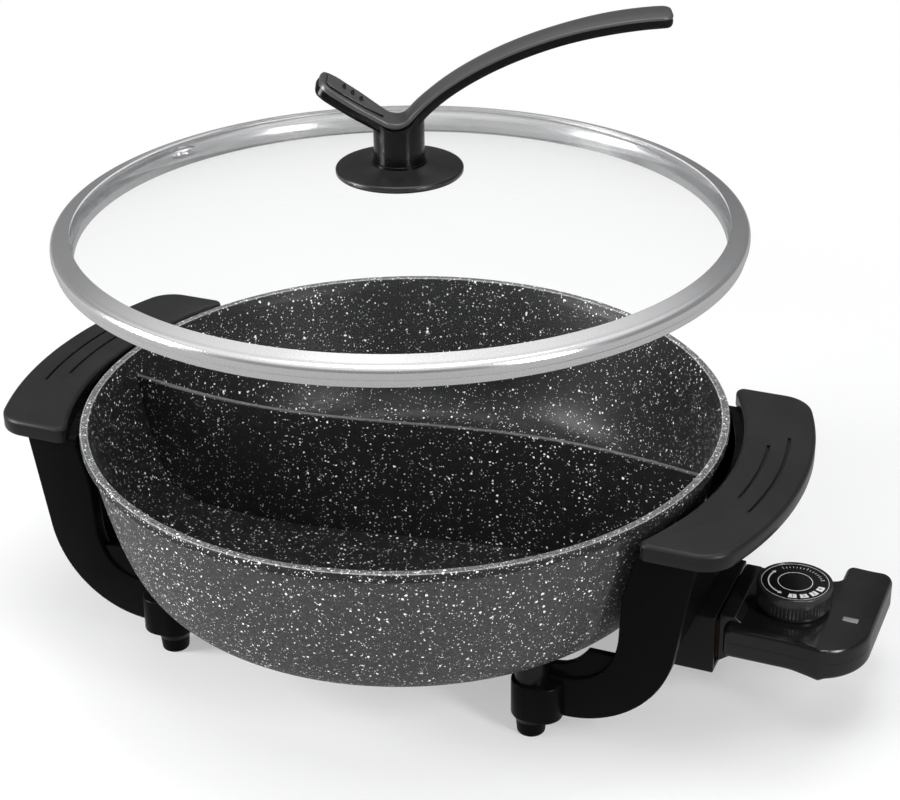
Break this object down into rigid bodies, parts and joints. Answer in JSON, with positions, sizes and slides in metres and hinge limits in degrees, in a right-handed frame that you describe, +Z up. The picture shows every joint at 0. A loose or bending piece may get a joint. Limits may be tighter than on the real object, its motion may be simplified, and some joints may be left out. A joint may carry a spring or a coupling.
{
  "type": "electric hot pot with lid",
  "caption": "Round electric hot pot with a wall dividing its bowl in two, side grips on leg frames, a plug-in thermostat with a dial, and a lift-off glass lid with a forked handle.",
  "frame": {"origin": "on the table, under the bowl's axis", "axes": "+X towards the right grip, the socket and the thermostat, +Y to the back, +Z up"},
  "size_m": [0.455, 0.339, 0.3268],
  "materials": {
    "stone_coating": "grey non-stick coating with fine white speckles, satin",
    "black_coating": "near-black non-stick coating with white speckles",
    "cast_boss": "cast aluminium under a dark coating",
    "heater_sheath": "dull drawn metal sheath",
    "steel_trim": "bright zinc-plated or stainless steel",
    "shield_sheet": "dull pressed sheet",
    "ceramic_plate": "unglazed white ceramic",
    "frame_plastic": "black heat-proof moulding, semi-gloss",
    "grip_plastic": "matte charcoal heat-proof moulding",
    "foot_rubber": "black rubber",
    "thermostat_plastic": "satin black moulding",
    "phenolic": "brown phenolic moulding",
    "contact_metal": "plain contact brass",
    "lamp_glow": "orange neon lamp body",
    "lens_plastic": "frosted clear lens",
    "dial_plastic": "glossy black moulding with a fine knurl",
    "clear_glass": "clear tempered glass",
    "band_steel": "polished stainless strip",
    "handle_plastic": "satin black heat-proof moulding",
    "seal_silicone": "translucent silicone"
  },
  "bodies": {
    "pot": {"pot_bowl": "stone_coating", "divider": "black_coating", "heating_element": "heater_sheath", "sensor_well": "heater_sheath", "terminal_plate": "ceramic_plate", "live_pins": "steel_trim", "heat_shield": "shield_sheet", "shield_screws": "steel_trim", "mounting_posts": "cast_boss", "leg_frame_left": "frame_plastic", "leg_frame_right": "frame_plastic", "grip_left": "grip_plastic", "grip_right": "grip_plastic", "grip_screws": "steel_trim", "foot_front_left": "foot_rubber", "foot_rear_left": "foot_rubber", "foot_front_right": "foot_rubber", "foot_rear_right": "foot_rubber", "frame_screws": "steel_trim", "socket_housing": "frame_plastic", "socket_screws": "steel_trim"},
    "thermostat": {"thermostat_base": "thermostat_plastic", "thermostat_cover": "thermostat_plastic", "plug_insert": "phenolic", "contact_sleeves": "contact_metal", "sensing_rod": "steel_trim", "switch_block": "phenolic", "switch_leaves": "contact_metal", "pilot_lamp": "lamp_glow", "lamp_lens": "lens_plastic", "cord_bush": "foot_rubber", "cover_screws": "steel_trim"},
    "dial": {"dial_knob": "dial_plastic", "dial_face": "dial_plastic", "dial_shaft": "steel_trim"},
    "lid": {"lid_glass": "clear_glass", "lid_band": "band_steel", "steam_vent": "band_steel", "lid_disc": "handle_plastic", "lid_handle": "handle_plastic", "handle_cover": "handle_plastic", "handle_screw": "steel_trim", "handle_washer": "steel_trim", "handle_seal": "seal_silicone"}
  },
  "joints": [
    {"name": "lid_lift", "type": "slide", "parent": "pot", "child": "lid", "axis": [0, 0, 1], "range_m": [-0.093, 0]},
    {"name": "thermostat_unplug", "type": "slide", "parent": "pot", "child": "thermostat", "axis": [1, 0, 0], "range_m": [0, 0.12]},
    {"name": "dial_turn", "type": "hinge", "parent": "thermostat", "child": "dial", "pos_m": [0.207, 0, 0.057], "axis": [0, 0, 1], "range_deg": [0, 270]}
  ]
}
